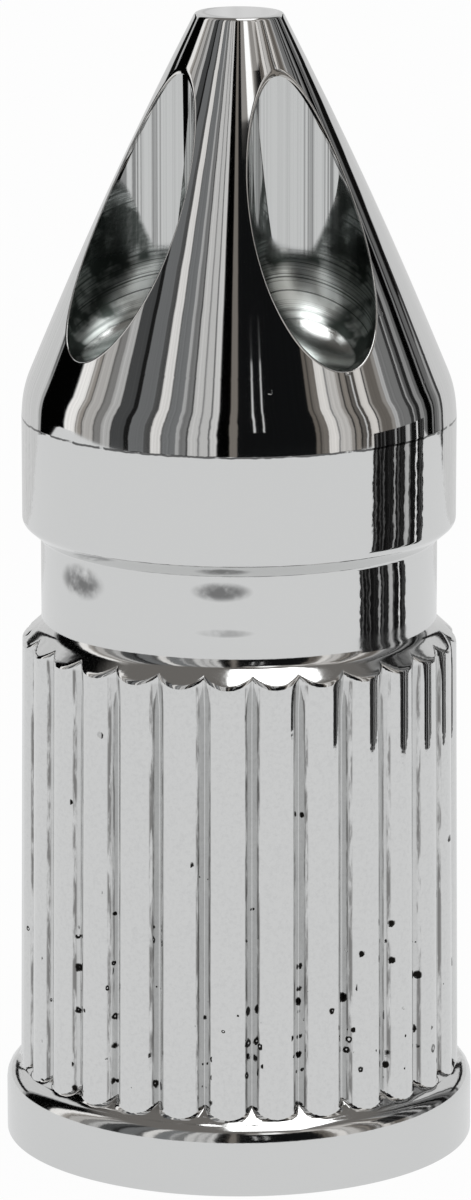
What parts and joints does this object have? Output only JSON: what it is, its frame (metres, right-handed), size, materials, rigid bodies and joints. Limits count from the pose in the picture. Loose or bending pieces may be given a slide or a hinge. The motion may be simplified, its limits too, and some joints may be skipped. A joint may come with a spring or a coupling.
{
  "type": "tyre valve cap",
  "caption": "Bright plated tyre valve cap with a ribbed barrel, a neck, a collar and a scooped conical spike, and a rubber sealing washer inside.",
  "frame": {"origin": "middle of the cap's underside, where it stands on a surface", "axes": "+Z along the cap's axis towards the spike's tip, the open threaded mouth faces -Z"},
  "size_m": [0.012, 0.012, 0.029],
  "materials": {
    "bright_plate": "bright plate on aluminium alloy",
    "washer_rubber": "matt"
  },
  "bodies": {
    "root": {"cap_body": "bright_plate", "seal_washer": "washer_rubber"}
  },
  "joints": []
}
